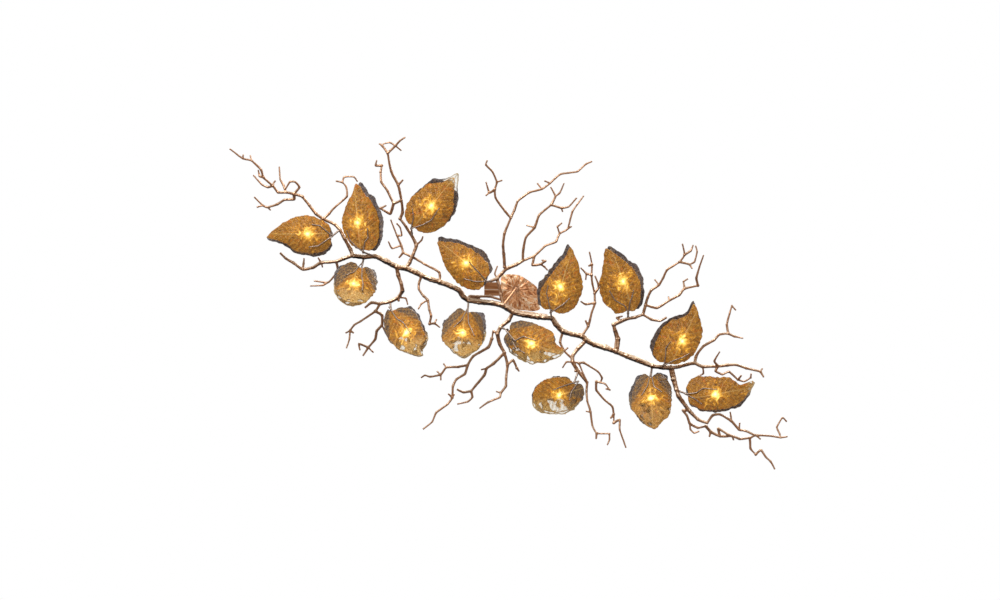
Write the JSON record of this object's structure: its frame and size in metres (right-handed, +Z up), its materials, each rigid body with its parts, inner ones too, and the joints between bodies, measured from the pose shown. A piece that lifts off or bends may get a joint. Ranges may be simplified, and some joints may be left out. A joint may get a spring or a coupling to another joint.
{
  "type": "branch chandelier",
  "caption": "Ceiling chandelier shaped as a forked bronze branch, with paired amber glass leaves round pull-out capsule lamps and a pleated lily-leaf canopy.",
  "frame": {"origin": "on the hanging rod's axis, in the ceiling plane", "axes": "+Z up, away from the room; the crown hangs below and is longest along X; Y runs across it"},
  "size_m": [1.5041, 0.8967, 0.2347],
  "materials": {
    "wood_bronze": "hand-patinated bronze, brown with worn copper edges",
    "claw_bronze": "pewter-brown patinated bronze",
    "amber_glass": "mottled amber glass, wavy",
    "smoke_glass": "smoked glass, wavy",
    "lamp_glass": "frosted capsule, lit",
    "holder_ceramic": "unglazed",
    "copper": "satin copper",
    "box_copper": "copper coloured, satin",
    "strap_steel": "zinc plated"
  },
  "bodies": {
    "fixture": {"main_stem": "wood_bronze", "bough_upper_left": "wood_bronze", "bough_left_rising": "wood_bronze", "bough_left_falling": "wood_bronze", "bough_centre_rising": "wood_bronze", "bough_centre_falling": "wood_bronze", "bough_middle_falling": "wood_bronze", "bough_right_rising": "wood_bronze", "bough_right_falling": "wood_bronze", "leaf_claws_left": "claw_bronze", "leaf_claws_right": "claw_bronze", "lamp_holders": "holder_ceramic", "ceiling_bracket": "strap_steel", "hanging_rod": "copper", "driver_box": "box_copper", "fixing_screws": "strap_steel", "front_glass_01": "amber_glass", "front_glass_02": "amber_glass", "front_glass_03": "amber_glass", "front_glass_04": "amber_glass", "front_glass_05": "amber_glass", "front_glass_06": "amber_glass", "front_glass_07": "amber_glass", "front_glass_08": "amber_glass", "front_glass_09": "amber_glass", "front_glass_10": "amber_glass", "front_glass_11": "amber_glass", "front_glass_12": "amber_glass", "front_glass_13": "amber_glass", "front_glass_14": "amber_glass", "rear_glass_01": "smoke_glass", "rear_glass_02": "smoke_glass", "rear_glass_03": "smoke_glass", "rear_glass_04": "smoke_glass", "rear_glass_05": "smoke_glass", "rear_glass_06": "smoke_glass", "rear_glass_07": "smoke_glass", "rear_glass_08": "smoke_glass", "rear_glass_09": "smoke_glass", "rear_glass_10": "smoke_glass", "rear_glass_11": "smoke_glass", "rear_glass_12": "smoke_glass", "rear_glass_13": "smoke_glass", "rear_glass_14": "smoke_glass"},
    "cover": {"canopy_cover": "copper", "cover_nut": "copper"},
    "capsule_01": {"lamp_01": "lamp_glass"},
    "capsule_02": {"lamp_02": "lamp_glass"},
    "capsule_03": {"lamp_03": "lamp_glass"},
    "capsule_04": {"lamp_04": "lamp_glass"},
    "capsule_05": {"lamp_05": "lamp_glass"},
    "capsule_06": {"lamp_06": "lamp_glass"},
    "capsule_07": {"lamp_07": "lamp_glass"},
    "capsule_08": {"lamp_08": "lamp_glass"},
    "capsule_09": {"lamp_09": "lamp_glass"},
    "capsule_10": {"lamp_10": "lamp_glass"},
    "capsule_11": {"lamp_11": "lamp_glass"},
    "capsule_12": {"lamp_12": "lamp_glass"},
    "capsule_13": {"lamp_13": "lamp_glass"},
    "capsule_14": {"lamp_14": "lamp_glass"}
  },
  "joints": [
    {"name": "cover_drop", "type": "slide", "parent": "fixture", "child": "cover", "axis": [0, 0, -1], "range_m": [0, 0.016]},
    {"name": "capsule_pull_01", "type": "slide", "parent": "fixture", "child": "capsule_01", "axis": [-0.9902, 0.0119, -0.1392], "range_m": [0, 0.0085]},
    {"name": "capsule_pull_02", "type": "slide", "parent": "fixture", "child": "capsule_02", "axis": [-0.0987, -0.9927, 0.0698], "range_m": [0, 0.0085]},
    {"name": "capsule_pull_03", "type": "slide", "parent": "fixture", "child": "capsule_03", "axis": [0.6383, -0.7648, -0.0872], "range_m": [0, 0.0085]},
    {"name": "capsule_pull_04", "type": "slide", "parent": "fixture", "child": "capsule_04", "axis": [-0.7721, -0.6334, 0.0523], "range_m": [0, 0.0085]},
    {"name": "capsule_pull_05", "type": "slide", "parent": "fixture", "child": "capsule_05", "axis": [0.2925, -0.9563, 0], "range_m": [0, 0.0085]},
    {"name": "capsule_pull_06", "type": "slide", "parent": "fixture", "child": "capsule_06", "axis": [-0.3303, -0.9413, -0.0698], "range_m": [0, 0.0085]},
    {"name": "capsule_pull_07", "type": "slide", "parent": "fixture", "child": "capsule_07", "axis": [0.4342, -0.8966, -0.0872], "range_m": [0, 0.0085]},
    {"name": "capsule_pull_08", "type": "slide", "parent": "fixture", "child": "capsule_08", "axis": [0.9721, -0.1889, -0.1392], "range_m": [0, 0.0085]},
    {"name": "capsule_pull_09", "type": "slide", "parent": "fixture", "child": "capsule_09", "axis": [-0.1162, 0.6975, -0.7071], "range_m": [0, 0.0085]},
    {"name": "capsule_pull_10", "type": "slide", "parent": "fixture", "child": "capsule_10", "axis": [0.4593, 0.666, -0.5878], "range_m": [0, 0.0085]},
    {"name": "capsule_pull_11", "type": "slide", "parent": "fixture", "child": "capsule_11", "axis": [-0.0691, 0.7037, -0.7071], "range_m": [0, 0.0085]},
    {"name": "capsule_pull_12", "type": "slide", "parent": "fixture", "child": "capsule_12", "axis": [0.8826, 0.3226, -0.342], "range_m": [0, 0.0085]},
    {"name": "capsule_pull_13", "type": "slide", "parent": "fixture", "child": "capsule_13", "axis": [-0.7582, 0.2146, -0.6157], "range_m": [0, 0.0085]},
    {"name": "capsule_pull_14", "type": "slide", "parent": "fixture", "child": "capsule_14", "axis": [0.0342, 0.7185, -0.6947], "range_m": [0, 0.0085]}
  ]
}
